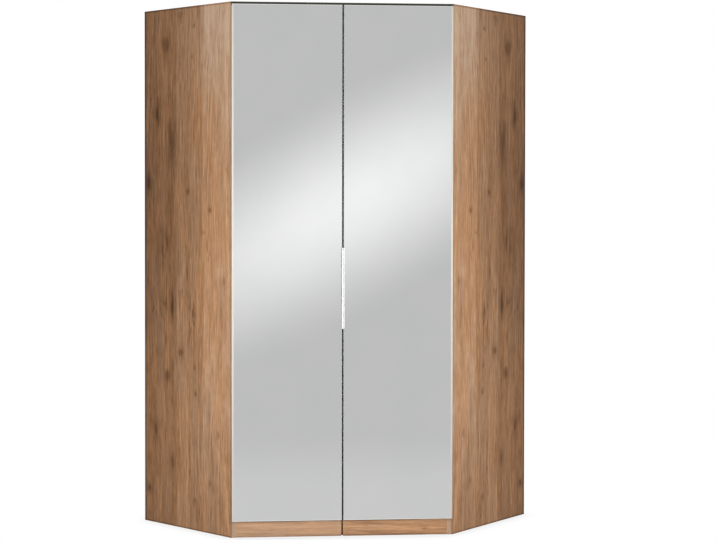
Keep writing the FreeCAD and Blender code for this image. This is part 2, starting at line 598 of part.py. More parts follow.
shelf_b = BOARD + SHELF_SIDE_GAP
shelf_a = WALL_LINE - SHELF_WALL_GAP
shelf_rear = (0, FRONT_Y + shelf_front + shelf_joint)
shelf_outline = [(0, FRONT_Y + shelf_front), side_line(shelf_front, shelf_b), wall_point(shelf_a, shelf_b),
                 wall_point(shelf_a, shelf_notch), shelf_rear]
shelf_band_outline = [(0, FRONT_Y + SHELF_SETBACK), side_line(SHELF_SETBACK, shelf_b),
                      side_line(shelf_front, shelf_b), (0, FRONT_Y + shelf_front)]
shelf_holes = joint_dowel_holes + [screw_hole(spot) for spot in joint_plate_screws + hanger_screws]
shelf = without(prism(shelf_outline, SHELF_UNDER, SHELF_UNDER + BOARD), shelf_holes)

bands = [prism(band_outline, PLINTH_HEIGHT, BASE_TOP), prism(band_outline, TOP_UNDER, HEIGHT),
         prism(shelf_band_outline, SHELF_UNDER, SHELF_UNDER + BOARD)]

front_plinth = prism([(-PLINTH_GAP / 2, FRONT_Y + PLINTH_SETBACK), side_line(PLINTH_SETBACK, BOARD),
                      side_line(plinth_back, BOARD), (-PLINTH_GAP / 2, FRONT_Y + plinth_back)],
                     0, PLINTH_HEIGHT)
front_plinth = without(front_plinth, bracket_holes)
rear_plinth_left = wall_block(rear_face, WALL_LINE, BOARD, CORNER_LINE, 0, PLINTH_HEIGHT)
rear_plinth_left = without(rear_plinth_left, bracket_holes)
rear_plinth_right = wall_block(rear_face, WALL_LINE, BOARD, CORNER_LINE - BOARD, 0, PLINTH_HEIGHT)
rear_plinth_right = flipped(without(rear_plinth_right, bracket_holes))

rail_side = CENTRE_RAIL_WIDTH / 2
rail_tip = wall_point(rear_face, CORNER_LINE - BOARD)[1]
centre_rail = prism([(-rail_side, FRONT_Y + plinth_back), (rail_side, FRONT_Y + plinth_back),
                     (rail_side, rail_tip - rail_side), (0, rail_tip), (-rail_side, rail_tip - rail_side)],
                    0, PLINTH_HEIGHT)
centre_rail = without(centre_rail, connector_holes)

post_holes = nail_holes + peg_holes
post = wall_block(WALL_LINE - POST_WIDTH, WALL_LINE, post_face, CORNER_LINE, BASE_TOP, TOP_UNDER)
post = without(post, connector_holes + post_holes + [flipped(hole) for hole in post_holes])

# Back sheets and the strips that join them

sheet_holes = nail_holes + [wall_hole]
strip_half = STRIP_WEB / 2
sheet_outer = wall_block(WALL_LINE, nail_face, sheet_start, strip_b - strip_half, sheet_low, sheet_high)
sheet_outer = without(sheet_outer, sheet_holes)
sheet_inner_left = wall_block(WALL_LINE, nail_face, strip_b + strip_half, WALL_LEG - BACK_INSET,
                              sheet_low, sheet_high)
sheet_inner_left = without(sheet_inner_left, sheet_holes)
sheet_inner_right = wall_block(WALL_LINE, nail_face, strip_b + strip_half, CORNER_LINE, sheet_low, sheet_high)
sheet_inner_right = flipped(without(sheet_inner_right, sheet_holes))
strip_low = BASE_TOP + SHEET_EDGE_GAP
strip_high = TOP_UNDER - SHEET_EDGE_GAP
strip = fused([
    wall_block(WALL_LINE - STRIP_SKIN, nail_face + STRIP_SKIN, strip_b - strip_half, strip_b + strip_half,
               strip_low, strip_high),
    wall_block(WALL_LINE - STRIP_SKIN, WALL_LINE, strip_b - STRIP_FLANGE, strip_b + STRIP_FLANGE,
               strip_low, strip_high),
    wall_block(nail_face, nail_face + STRIP_SKIN, strip_b - STRIP_FLANGE, strip_b + STRIP_FLANGE,
               strip_low, strip_high)])

bumper_rows = ((DOOR_BOTTOM + BASE_TOP) / 2, (TOP_UNDER + DOOR_TOP) / 2)
bumpers = [Part.makeCylinder(BUMPER_RADIUS, BUMPER_THICK, FreeCAD.Vector(-BUMPER_INSET, FRONT_Y, z), FORWARD)
           for z in bumper_rows]

# Door, left half

slot_u = FRONT_WIDTH / 2 - DOOR_GAP / 2
edge_u = SIDE_REVEAL + TRIM_SKIN
board_front = -DOOR_STANDOFF - BOARD
door_board = prism([front_point(edge_u, board_front), front_point(slot_u, board_front),
                    front_point(slot_u, -DOOR_STANDOFF), front_point(edge_u + DOOR_CHAMFER, -DOOR_STANDOFF),
                    front_point(edge_u, -DOOR_STANDOFF - DOOR_CHAMFER)], DOOR_BOTTOM, DOOR_TOP)

mirror_u0 = edge_u + GLASS_GAP
mirror_u1 = slot_u - MIRROR_INSET
mirror_low = DOOR_BOTTOM + MIRROR_INSET
mirror_high = DOOR_TOP - MIRROR_INSET
mirror = front_block(mirror_u0, mirror_u1, -MIRROR_FRONT, -MIRROR_BACK, mirror_low, mirror_high)
front_edges = [edge for edge in mirror.Edges
               if all(abs(vertex.Y - (FRONT_Y - MIRROR_FRONT)) < MIRROR_BEVEL for vertex in edge.Vertexes)]
mirror = mirror.makeChamfer(MIRROR_BEVEL, front_edges)

tape_half = TAPE_WIDTH / 2
tapes = [front_block(u - tape_half, u + tape_half, -MIRROR_BACK, board_front,
                     mirror_low + TAPE_INSET, mirror_high - TAPE_INSET)
         for u in spread(mirror_u0 + TAPE_INSET + tape_half, mirror_u1 - TAPE_INSET - tape_half, TAPE_COUNT)]

trim_front = -MIRROR_FRONT - TRIM_FACE_SKIN
trim = fused([
    front_block(SIDE_REVEAL, edge_u, trim_front, -DOOR_STANDOFF - TRIM_BACK_GAP, DOOR_BOTTOM, DOOR_TOP),
    front_block(SIDE_REVEAL, SIDE_REVEAL + TRIM_FACE, trim_front, -MIRROR_FRONT, DOOR_BOTTOM, DOOR_TOP)])

handle_low = HANDLE_CENTRE - HANDLE_LENGTH / 2
handle_high = HANDLE_CENTRE + HANDLE_LENGTH / 2
handle_u = slot_u + HANDLE_SKIN
lip_inner_u = (FRONT_WIDTH - HANDLE_GAP) / 2
lip_edge_u = lip_inner_u - HANDLE_LIP
lip_back = -HANDLE_FRONT + HANDLE_SKIN
lip = prism([front_point(lip_inner_u, -HANDLE_FRONT), front_point(lip_inner_u, lip_back),
             front_point(slot_u, lip_back), front_point(lip_edge_u, lip_back + HANDLE_FALL),
             front_point(lip_edge_u, -HANDLE_FRONT + HANDLE_FALL), front_point(slot_u, -HANDLE_FRONT)],
            handle_low, handle_high)
handle = fused([
    front_block(slot_u, handle_u, -HANDLE_FRONT, -DOOR_STANDOFF - TRIM_BACK_GAP, handle_low, handle_high),
    lip])
lip_front = (HANDLE_FALL + HANDLE_SKIN) / 2
lip_edges = [edge for edge in handle.Edges
             if all(abs(vertex.Y - (FRONT_Y - HANDLE_FRONT)) < lip_front for vertex in edge.Vertexes)
             and edge.Length > HANDLE_LENGTH / 2]
handle = handle.makeFillet(HANDLE_ROUND, lip_edges)
handle_screws = []
handle_holes = []
for z in spread(handle_low + HANDLE_SCREW_INSET, handle_high - HANDLE_SCREW_INSET, HANDLE_SCREWS):
    start = at(front_point(handle_u, -DOOR_STANDOFF - BOARD / 2), z)
    handle_screws.append(fused([
        Part.makeCylinder(EDGE_SCREW_HEAD_RADIUS, EDGE_SCREW_HEAD, start, LEFTWARD),
        Part.makeCylinder(EDGE_SCREW_RADIUS, EDGE_SCREW_LENGTH, start, LEFTWARD)]))
    handle_holes.append(fused([
        Part.makeCylinder(EDGE_SCREW_HEAD_RADIUS + DRILL, EDGE_SCREW_HEAD, start, LEFTWARD),
        Part.makeCylinder(EDGE_SCREW_RADIUS + DRILL, EDGE_SCREW_LENGTH + DRILL, start, LEFTWARD)]))
handle = without(handle, handle_holes)
door_board = without(door_board, cup_pockets + cup_screw_holes + handle_holes)

# Carcass pieces

save("left_side_panel", [flank])
save("right_side_panel", [flipped(flank)])
save("left_base_board", [base])
save("right_base_board", [flipped(base)])
save("left_top_board", [top])
save("right_top_board", [flipped(top)])
save("left_hat_shelf", [shelf])
save("right_hat_shelf", [flipped(shelf)])
save("board_edge_bands", both_sides(bands))
save("left_front_plinth", [front_plinth])
save("right_front_plinth", [flipped(front_plinth)])
save("left_rear_plinth", [rear_plinth_left])
save("right_rear_plinth", [rear_plinth_right])
save("base_centre_rail", [centre_rail])
save("rear_corner_post", [post])
save("left_back_sheet_outer", [sheet_outer])
save("right_back_sheet_outer", [flipped(sheet_outer)])
save("left_back_sheet_inner", [sheet_inner_left])
save("right_back_sheet_inner", [sheet_inner_right])
save("back_joint_strips", both_sides([strip]))
save("back_nails", both_sides(nails))
save("cam_locks", both_sides(cams))
save("cam_bolts", both_sides(bolts))
save("wood_dowels", both_sides(side_dowels) + joint_dowels)
joint_holes = [screw_hole(spot) for spot in joint_plate_screws]
save("joint_plates", [without(plate, joint_holes) for plate in joint_plates])
save("connector_screws", connectors)
save("plinth_brackets", both_sides(brackets))
save("shelf_pins", both_sides(pegs))
save("wall_brackets", both_sides([wall_bracket]))
save("clothes_rail", [rail])
save("rail_end_caps", rail_caps)
save("rail_hangers", hangers)
side_screws = [screw(spot) for spot in bracket_screws + wall_bracket_screws]
middle_screws = [screw(spot) for spot in joint_plate_screws + hanger_screws]
save("fitting_screws", both_sides(side_screws) + middle_screws)
save("door_bumpers", both_sides(bumpers))
save("hinge_plates", both_sides(plates))
save("hinge_plate_screws", both_sides(plate_screws))
save("hinge_arms", both_sides(arms))
save("hinge_arm_screws", both_sides(arm_screws))

# Door pieces

for side, place in (("left", lambda shape: shape), ("right", flipped)):
    save(side + "_door_board", [place(door_board)])
    save(side + "_mirror", [place(mirror)])
    save(side + "_mirror_tape", [place(shape) for shape in tapes])
    save(side + "_edge_trim", [place(trim)])
    save(side + "_handle", [place(handle)])
    save(side + "_handle_screws", [place(shape) for shape in handle_screws])
    save(side + "_hinge_cups", [place(shape) for shape in cups])
    save(side + "_hinge_pins", [place(shape) for shape in pins])
    save(side + "_cup_screws", [place(shape) for shape in cup_screws])
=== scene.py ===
import math

import bpy
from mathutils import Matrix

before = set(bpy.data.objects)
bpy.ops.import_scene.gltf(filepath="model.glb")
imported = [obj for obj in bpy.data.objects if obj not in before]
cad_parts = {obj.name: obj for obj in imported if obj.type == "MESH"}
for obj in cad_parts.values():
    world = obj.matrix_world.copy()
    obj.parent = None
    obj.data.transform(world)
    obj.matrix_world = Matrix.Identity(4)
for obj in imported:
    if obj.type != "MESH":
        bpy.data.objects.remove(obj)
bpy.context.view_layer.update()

# Photograph and camera
PHOTO_WIDTH = 716
PHOTO_HEIGHT = 540
FOCAL_PIXELS = 1489.6
AXIS_ROW = 224.0  # row of the photograph that the camera points at
SENSOR_WIDTH = 36.0
CAMERA_PLACE = (-0.4086, -6.5799, 1.3723)
CAMERA_YAW = math.radians(4.481)
CAMERA_ROLL = math.radians(0.081)
CAMERA_DIP = math.radians(1.0)

# Places on the wardrobe, in metres
FRONT_HALF_WIDTH = 0.4504  # front corners of the side panels
FRONT_Y = -0.5697
TOP_UNDER = 2.144  # underside of the top board
# The painted shade on the handles starts just behind their lips
LIP_BACK = -0.609  # just behind the lips of the handles
SLANT = math.sqrt(0.5)  # the side panels stand at 45 degrees

# Knots of the oak side panels: back from the front edge, height, half width, half height, darkness
PANEL_KNOTS = (
    (0.383, 2.010, 0.018, 0.042, 0.80),
    (0.295, 2.130, 0.013, 0.022, 0.60),
    (0.215, 2.080, 0.006, 0.009, 0.80),
    (0.225, 1.955, 0.006, 0.008, 0.70),
    (0.440, 1.723, 0.012, 0.034, 0.95),
    (0.356, 1.620, 0.020, 0.044, 0.45),
    (0.488, 1.427, 0.013, 0.030, 0.90),
    (0.252, 1.395, 0.008, 0.011, 0.75),
    (0.122, 1.320, 0.008, 0.011, 1.00),
    (0.040, 1.033, 0.014, 0.020, 0.65),
    (0.221, 0.896, 0.008, 0.024, 0.85),
    (0.349, 0.909, 0.010, 0.030, 0.70),
    (0.295, 0.725, 0.014, 0.018, 0.85),
    (0.378, 0.626, 0.016, 0.032, 0.90),
    (0.206, 0.563, 0.007, 0.012, 0.70),
    (0.212, 0.670, 0.006, 0.011, 0.60),
    (0.446, 0.405, 0.012, 0.030, 0.70),
    (0.075, 0.404, 0.013, 0.022, 0.40),
    (0.349, 0.269, 0.018, 0.036, 0.25),
    (0.121, 0.203, 0.008, 0.016, 0.60),
    (0.488, 0.145, 0.010, 0.018, 0.80),
)
# Long dark cracks of the side panels, as the knots
PANEL_CRACKS = (
    (0.383, 0.950, 0.0050, 0.110, 0.90),
    (0.384, 0.780, 0.0045, 0.080, 0.70),
    (0.345, 0.930, 0.0040, 0.080, 0.70),
    (0.405, 1.110, 0.0050, 0.090, 0.60),
    (0.380, 1.180, 0.0045, 0.080, 0.80),
    (0.255, 1.060, 0.0045, 0.060, 0.70),
    (0.214, 0.830, 0.0055, 0.090, 0.55),
    (0.118, 1.500, 0.0040, 0.070, 0.45),
    (0.382, 2.080, 0.0045, 0.060, 0.60),
    (0.330, 1.850, 0.0035, 0.150, 0.45),
    (0.095, 0.860, 0.0040, 0.090, 0.40),
)
# Soft dark clouds of the side panels, as the knots
PANEL_CLOUDS = (
    (0.337, 1.572, 0.034, 0.109, 0.9),
    (0.385, 1.220, 0.026, 0.083, 0.6),
    (0.350, 0.930, 0.020, 0.064, 0.6),
    (0.320, 0.300, 0.034, 0.109, 0.7),
    (0.100, 0.280, 0.030, 0.096, 0.3),
    (0.395, 1.980, 0.020, 0.064, 0.5),
)
# Knots of the plinth boards: height, place along the front, half width, half length, darkness
PLINTH_KNOTS = (
    (0.024, 0.340, 0.005, 0.011, 0.90),
    (0.040, 0.100, 0.006, 0.013, 0.50),
    (0.030, -0.290, 0.005, 0.011, 0.45),
)


def linear(red, green, blue):
    """A colour given in the photograph's 0 to 255 steps, as linear light."""
    steps = []
    for step in (red, green, blue):
        part = step / 255
        steps.append(part / 12.92 if part <= 0.04045 else ((part + 0.055) / 1.055) ** 2.4)
    return (*steps, 1.0)


# Colours
BLACK = (0.0, 0.0, 0.0, 1.0)
WHITE = (1.0, 1.0, 1.0, 1.0)
OAK_COOLER = (0.90, 0.98, 1.12, 1.0)  # times the brown, where the oak is least warm
# Paler tone along the oak edges: wear and a painted highlight
OAK_WORN_AND_HIGHLIT = linear(196, 164, 132)
# Painted shade on the mitre faces in the reveal beside the doors
MITRE_SHADE_TONE = linear(152, 130, 110)
# Near black: painted shade along the top of the mitre faces, as of the gap above the doors
TOP_EDGE_SHADE_TONE = linear(55, 51, 42)
PLINTH_PALE = linear(182, 154, 130)
TAUPE_DARK = linear(118, 110, 100)
TAUPE_LIGHT = linear(164, 156, 145)
# Paler tones along the edges of foil and metal: wear and a painted highlight
TAUPE_WORN_AND_HIGHLIT = linear(182, 174, 162)
STEEL_WORN_AND_HIGHLIT = linear(236, 236, 232)
ALUMINIUM_WORN_AND_HIGHLIT = linear(250, 250, 248)


class Nodes:
    """Short calls that add nodes to a shader tree. A value may be a number or another node's socket."""

    def __init__(self, tree):
        self.tree = tree

    def node(self, kind, **settings):
        made = self.tree.nodes.new("ShaderNode" + kind)
        for key, value in settings.items():
            setattr(made, key, value)
        return made

    def feed(self, socket, value):
        """Links a socket, or sets a number or colour."""
        if isinstance(value, bpy.types.NodeSocket):
            self.tree.links.new(value, socket)
        else:
            socket.default_value = value

    def math(self, operation, first, second=0.0):
        made = self.node("Math", operation=operation)
        self.feed(made.inputs[0], first)
        self.feed(made.inputs[1], second)
        return made.outputs[0]

    def add(self, *values):
        total = values[0]
        for value in values[1:]:
            total = self.math("ADD", total, value)
        return total

    def times(self, first, second):
        return self.math("MULTIPLY", first, second)

    def less(self, first, second):
        return self.math("SUBTRACT", first, second)

    def choose(self, share, first, second):
        """first where share is 0, second where it is 1."""
        return self.add(self.times(first, self.less(1.0, share)), self.times(second, share))

    def span(self, value, low, high, start, end, soft=True):
        """value from low to high becomes start to end."""
        made = self.node("MapRange", interpolation_type="SMOOTHSTEP" if soft else "LINEAR")
        for socket, number in zip(made.inputs[:5], (value, low, high, start, end)):
            self.feed(socket, number)
        return made.outputs[0]

    def swing(self, value, amount):
        """A 0 to 1 pattern as a swing of that amount about nought."""
        return self.times(self.less(value, 0.5), amount)

    def vector(self, x, y, z):
        made = self.node("CombineXYZ")
        for socket, number in zip(made.inputs, (x, y, z)):
            self.feed(socket, number)
        return made.outputs[0]

    def parts(self, vector):
        """The x, y and z of a vector or colour."""
        made = self.node("SeparateXYZ")
        self.feed(made.inputs[0], vector)
        return made.outputs[0], made.outputs[1], made.outputs[2]

    def measure(self, operation, first, second=(0.0, 0.0, 0.0)):
        """A number from vectors, such as LENGTH or DOT_PRODUCT."""
        made = self.node("VectorMath", operation=operation)
        self.feed(made.inputs[0], first)
        self.feed(made.inputs[1], second)
        return made.outputs["Value"]

    def noise(self, x, y, z, detail=2.0, rough=0.5):
        made = self.node("TexNoise")
        self.feed(made.inputs["Vector"], self.vector(x, y, z))
        made.inputs["Scale"].default_value = 1.0
        made.inputs["Detail"].default_value = detail
        made.inputs["Roughness"].default_value = rough
        return made.outputs[0]

    def grit(self, place, scale_x, scale_y, scale_z, detail=2.0, rough=0.5):
        """Noise at a place, with so many features per metre along each axis."""
        scales = (scale_x, scale_y, scale_z)
        x, y, z = (self.times(part, scale) for part, scale in zip(place, scales))
        return self.noise(x, y, z, detail, rough)

    def cells(self, vector, scale):
        made = self.node("TexVoronoi")
        self.feed(made.inputs["Vector"], vector)
        made.inputs["Scale"].default_value = scale
        return made

    def mix(self, share, first, second, blend="MIX"):
        """One colour where share is 0, another where it is 1."""
        made = self.node("Mix", data_type="RGBA", blend_type=blend)
        self.feed(made.inputs[0], share)
        self.feed(made.inputs[6], first)
        self.feed(made.inputs[7], second)
        return made.outputs[2]

    def shades(self, value, *stops):
        """A colour ramp through (place, colour) stops."""
        made = self.node("ValToRGB")
        ramp = made.color_ramp
        while len(ramp.elements) < len(stops):
            ramp.elements.new(0.5)
        for element, (place, colour) in zip(ramp.elements, stops):
            element.position = place
            element.color = colour
        self.feed(made.inputs[0], value)
        return made.outputs[0]

    def place(self):
        """The point on the object, in the row frame at rest."""
        return self.parts(self.node("TexCoord").outputs["Object"])

    def facing(self):
        """The way the surface faces, in the row frame at rest."""
        return self.parts(self.node("TexCoord").outputs["Normal"])

    def edges(self, radius):
        """1 along the sharp edges of a piece, 0 on its faces."""
        rounded = self.node("Bevel", samples=4)
        rounded.inputs["Radius"].default_value = radius
        flat = self.node("NewGeometry")
        turn = self.measure("DOT_PRODUCT", rounded.outputs[0], flat.outputs["Normal"])
        return self.span(turn, 0.86, 0.99, 1.0, 0.0)

    def edge_wear_and_highlight(self, radius, share, colour, tone):
        """The colour, with that share of another tone along the edges: wear, and a painted highlight as
        of rounded edges catching the light.
        """
        return self.mix(self.times(self.edges(radius), share), colour, tone)

    def mix_shader(self, share, first, second):
        made = self.node("MixShader")
        for socket, value in zip(made.inputs, (share, first, second)):
            self.feed(socket, value)
        return made.outputs[0]


class Paint(Nodes):
    """One material of the wardrobe."""

    def __init__(self, name):
        self.material = bpy.data.materials.new(name)
        self.material.use_nodes = True
        super().__init__(self.material.node_tree)
        self.shader = self.tree.nodes["Principled BSDF"]

    def set(self, **values):
        """Feeds the shader's sockets by their names, as in specular_ior_level."""
        for key, value in values.items():
            self.feed(self.shader.inputs[key.replace("_", " ").title().replace("Ior", "IOR")], value)

    def finish(self, colour, rough, height, depth, strength=0.4):
        """Colour, roughness and a relief of that depth in metres."""
        self.set(base_color=colour, roughness=rough)
        relief = self.node("Bump")
        relief.inputs["Strength"].default_value = strength
        relief.inputs["Distance"].default_value = depth
        self.feed(relief.inputs["Height"], height)
        self.set(normal=relief.outputs[0])
        return self.material


def oak(p, across, depth, along, tone, knots, cracks=(), clouds=()):
    """Oak foil with the grain running along. Gives its colour, roughness and relief."""
    def grain(place, width, length, detail=3.0, rough=0.6):
        """Noise drawn out along the grain: width and length are its features per metre."""
        return p.grit((place, depth, along), width, width, length, detail, rough)

    def ring(back, height, half_width, half_height):
        """How far a point is from a spot, in the spot's own half sizes."""
        aside = p.times(p.less(spot_across, back), 1.0 / half_width)
        above = p.times(p.less(spot_along, height), 1.0 / half_height)
        return p.math("SQRT", p.add(p.times(aside, aside), p.times(above, above)))

    def spots(places, near, far):
        """The darkest of the spots at each point. Each fades from near to far, in its own half sizes."""
        darkest = 0.0
        for back, height, half_width, half_height, strength in places:
            spot = p.span(ring(back, height, half_width, half_height), near, far, strength, 0.0)
            darkest = p.math("MAXIMUM", darkest, spot)
        return darkest

    sway = grain(across, 4.0, 1.1, detail=2.0)
    ripple = grain(across, 45.0, 14.0)
    spot_across = p.add(across, p.swing(ripple, 0.016))
    spot_along = p.add(along, p.swing(sway, 0.04))
    dark = spots(knots, 0.35, 1.15)
    halo = spots(knots, 0.6, 2.8)
    # The grain parts around each knot
    parting = 0.0
    for back, height, half_width, half_height, strength in knots:
        pull = p.span(ring(back, height, half_width, half_height), 0.0, 4.0, strength, 0.0)
        parting = p.add(parting, p.times(pull, p.less(spot_across, back)))
    bent = p.add(across, p.swing(sway, 0.06), p.swing(ripple, 0.006), p.times(parting, -0.6))
    band = grain(bent, 22.0, 0.8)
    streak = grain(bent, 72.0, 2.6, detail=5.0, rough=0.65)
    lines = grain(bent, 125.0, 5.0, detail=2.0)
    fibre = grain(bent, 270.0, 20.0)
    mottle = grain(across, 28.0, 12.0, detail=4.0)
    warmth = grain(bent, 15.0, 1.3)
    pores = p.span(grain(bent, 620.0, 18.0, detail=2.0), 0.56, 0.72, 0.0, 1.0)
    rift = p.math("ABSOLUTE", p.less(grain(bent, 17.0, 1.6), 0.5))
    patches = grain(across, 9.0, 3.0, detail=2.0)
    checks = p.times(p.span(rift, 0.0, 0.016, 1.0, 0.0), p.span(patches, 0.50, 0.60, 0.0, 1.0))
    flecks = p.span(grain(across, 48.0, 150.0, detail=1.0), 0.55, 0.72, 0.0, 1.0)
    flakes = p.times(flecks, p.span(patches, 0.42, 0.34, 0.0, 1.0))
    level = p.add(
        tone,
        p.swing(band, 0.32),
        p.swing(streak, 0.40),
        p.swing(lines, 0.66),
        p.swing(fibre, 0.56),
        p.swing(mottle, 0.24),
        p.times(pores, -0.07),
        p.times(checks, -0.20),
        p.times(flakes, 0.07),
        p.times(halo, -0.12),
        p.times(dark, -0.26),
    )
    if cracks:
        level = p.add(level, p.times(spots(cracks, 0.2, 1.1), -0.34))
    if clouds:
        level = p.add(level, p.times(spots(clouds, 0.0, 1.6), -0.13))
    brown = p.shades(
        level,
        (0.0, linear(76, 44, 23)),
        (0.25, linear(116, 78, 46)),
        (0.5, linear(154, 110, 73)),
        (0.75, linear(188, 142, 103)),
        (1.0, linear(214, 178, 143)),
    )
    colour = p.mix(p.span(warmth, 0.38, 0.62, 0.0, 1.0), brown, OAK_COOLER, "MULTIPLY")
    rough = p.add(0.46, p.swing(fibre, 0.20), p.times(pores, 0.10))
    relief = p.add(p.times(fibre, 0.5), p.times(streak, 0.3), p.times(pores, -0.5), p.times(checks, -0.4))
    p.set(specular_ior_level=0.3)
    return colour, rough, relief


def linen(p, place):
    """Woven-look taupe foil. Gives its colour, roughness and relief."""
    threads = 0.0
    for along in range(3):
        scales = [900.0, 900.0, 900.0]
        scales[along] = 14.0
        threads = p.add(threads, p.times(p.grit(place, *scales), 1.0 / 3.0))
    clouds = p.grit(place, 6.0, 6.0, 6.0, detail=3.0)
    level = p.add(p.span(threads, 0.40, 0.60, 0.0, 1.0, soft=False), p.swing(clouds, 0.25))
    colour = p.shades(level, (0.0, TAUPE_DARK), (1.0, TAUPE_LIGHT))
    return colour, p.add(0.52, p.swing(threads, 0.5)), threads


def oak_panel(name):
    """Side panels: oak outside and on the edges, woven foil inside. The two panels mirror each other."""
    p = Paint(name)
    x, y, z = p.place()
    out = p.less(p.math("ABSOLUTE", x), FRONT_HALF_WIDTH)
    back = p.less(y, FRONT_Y)
    across = p.times(p.add(out, back), SLANT)
    depth = p.times(p.less(back, out), SLANT)
    rear = p.span(across, 0.12, 0.30, 0.0, 1.0)
    # Upright planks of several tones, darker towards the rear as their own tone and as painted shade; a
    # dark line along the top end and a painted contact shadow along the bottom end; a painted sheen high
    # at the front and painted shade low at the front; slow changes of tone with height at the rear
    tone = p.add(
        0.69,
        p.span(across, 0.010, 0.060, 0.06, 0.0),
        p.span(across, 0.150, 0.172, 0.0, -0.12),
        p.span(across, 0.300, 0.345, 0.0, -0.14),
        p.span(across, 0.435, 0.455, 0.0, -0.04),
        p.span(across, 0.503, 0.512, 0.0, -0.34),
        # painted contact shadow along the bottom edge
        p.span(z, 0.002, 0.009, -0.28, 0.0),
        p.span(z, 2.150, 2.157, 0.0, -0.34),
        # painted highlight: a pale sheen high up near the front
        p.times(p.span(z, 1.45, 2.10, 0.0, 0.22), p.span(across, 0.08, 0.28, 1.0, 0.15)),
        # painted shade: darker low down near the front, where less light falls
        p.times(p.span(z, 0.05, 0.60, -0.12, 0.0), p.span(across, 0.08, 0.20, 1.0, 0.1)),
        p.times(p.span(z, 0.55, 1.25, 0.065, -0.045), rear),
        p.times(p.span(z, 1.65, 1.95, 0.0, 0.045), rear),
    )
    colour, rough, relief = oak(p, across, depth, z, tone, PANEL_KNOTS, PANEL_CRACKS, PANEL_CLOUDS)
    foil, foil_rough, foil_relief = linen(p, (across, depth, z))
    face_x, face_y, _ = p.facing()
    front = p.math("LESS_THAN", face_y, -0.9)
    # Pale edge band of the front mitre faces, darker towards the floor as painted shade
    edge_band_and_shade = p.shades(
        z,
        (0.12, linear(128, 100, 78)),
        (0.34, linear(168, 140, 116)),
        (0.62, linear(206, 184, 160)),
        (1.00, linear(204, 184, 162)),
    )
    # deeper into the mitre, beside the door, a darker tone as painted shade
    edging = p.mix(p.span(out, -0.006, -0.004, 0.0, 1.0), MITRE_SHADE_TONE, edge_band_and_shade)
    edged = p.mix(p.times(front, 0.8), colour, edging)
    # painted shade across the tops of the mitre faces
    top_shaded = p.mix(p.times(front, p.math("GREATER_THAN", z, TOP_UNDER)), edged, TOP_EDGE_SHADE_TONE)
    worn_and_highlit = p.edge_wear_and_highlight(0.0010, 0.20, top_shaded, OAK_WORN_AND_HIGHLIT)
    outward = p.times(p.less(p.times(p.math("SIGN", x), face_x), face_y), SLANT)
    inside = p.math("LESS_THAN", outward, -0.5)
    rough = p.choose(inside, rough, foil_rough)
    relief = p.choose(inside, relief, foil_relief)
    return p.finish(p.mix(inside, worn_and_highlit, foil), rough, relief, depth=0.0004)


def oak_plinth(name):
    """Plinth boards: oak with level grain, the left one paler, and a painted contact shadow along the
    bottom edge.
    """
    p = Paint(name)
    x, y, z = p.place()
    # painted contact shadow along the bottom edge
    tone = p.add(p.span(x, -0.02, 0.02, 0.57, 0.55), p.span(z, 0.002, 0.011, -0.32, 0.0))
    colour, rough, relief = oak(p, z, y, x, tone, PLINTH_KNOTS)
    pale = p.mix(p.span(x, -0.02, 0.02, 0.40, 0.15), colour, PLINTH_PALE)
    worn_and_highlit = p.edge_wear_and_highlight(0.0010, 0.20, pale, OAK_WORN_AND_HIGHLIT)
    return p.finish(worn_and_highlit, rough, relief, depth=0.0004)


def taupe_foil(name):
    """Boards with woven foil and paler edges."""
    p = Paint(name)
    colour, rough, relief = linen(p, p.place())
    worn_and_highlit = p.edge_wear_and_highlight(0.0012, 0.25, colour, TAUPE_WORN_AND_HIGHLIT)
    return p.finish(worn_and_highlit, rough, relief, depth=0.0003)


def streaky(name, dark, light, rough, scales):
    """A smooth foil or moulded piece: paler edges, and faint streaks, so many per metre on each axis."""
    p = Paint(name)
    place = p.place()
    streaks = p.grit(place, *scales, detail=4.0, rough=0.6)
    clouds = p.grit(place, 11.0, 11.0, 11.0, detail=3.0)
    colour = p.shades(p.add(streaks, p.swing(clouds, 0.5)), (0.3, dark), (0.75, light))
    paler = [min(1.0, part * 1.5) for part in light[:3]] + [1.0]
    worn_and_highlit = p.edge_wear_and_highlight(0.0008, 0.25, colour, paler)
    return p.finish(worn_and_highlit, p.add(rough, p.swing(streaks, 0.18)), streaks, depth=0.0002)


def particle_board(name):
    """Bare particle board: pressed chips of several tones."""
    p = Paint(name)
    x, y, z = p.place()
    chips = p.cells(p.vector(x, y, p.times(z, 1.4)), 260.0)
    chip_tone, _, _ = p.parts(chips.outputs["Color"])
    dust = p.grit((x, y, z), 900.0, 900.0, 900.0, detail=3.0)
    level = p.add(p.times(chip_tone, 0.65), p.times(dust, 0.35))
    colour = p.shades(
        level,
        (0.1, linear(120, 92, 62)),
        (0.5, linear(180, 148, 108)),
        (0.9, linear(214, 188, 148)),
    )
    return p.finish(colour, p.add(0.8, p.swing(dust, 0.2)), level, depth=0.0006)


def hardboard(name):
    """Back sheets: brown fibre board towards the wall, woven foil inside."""
    p = Paint(name)
    place = p.place()
    fibres = p.grit(place, 160.0, 160.0, 160.0, detail=6.0, rough=0.75)
    clouds = p.grit(place, 5.0, 5.0, 5.0, detail=3.0)
    raw = p.shades(
        p.add(0.05, p.times(fibres, 0.8), p.times(clouds, 0.1)),
        (0.25, linear(92, 66, 44)),
        (0.5, linear(132, 98, 68)),
        (0.75, linear(164, 128, 94)),
    )
    foil, foil_rough, foil_relief = linen(p, place)
    _, face_y, _ = p.facing()
    inside = p.math("LESS_THAN", face_y, -0.3)
    rough = p.choose(inside, p.add(0.7, p.swing(fibres, 0.3)), foil_rough)
    relief = p.choose(inside, fibres, foil_relief)
    return p.finish(p.mix(inside, raw, foil), rough, relief, depth=0.0004)


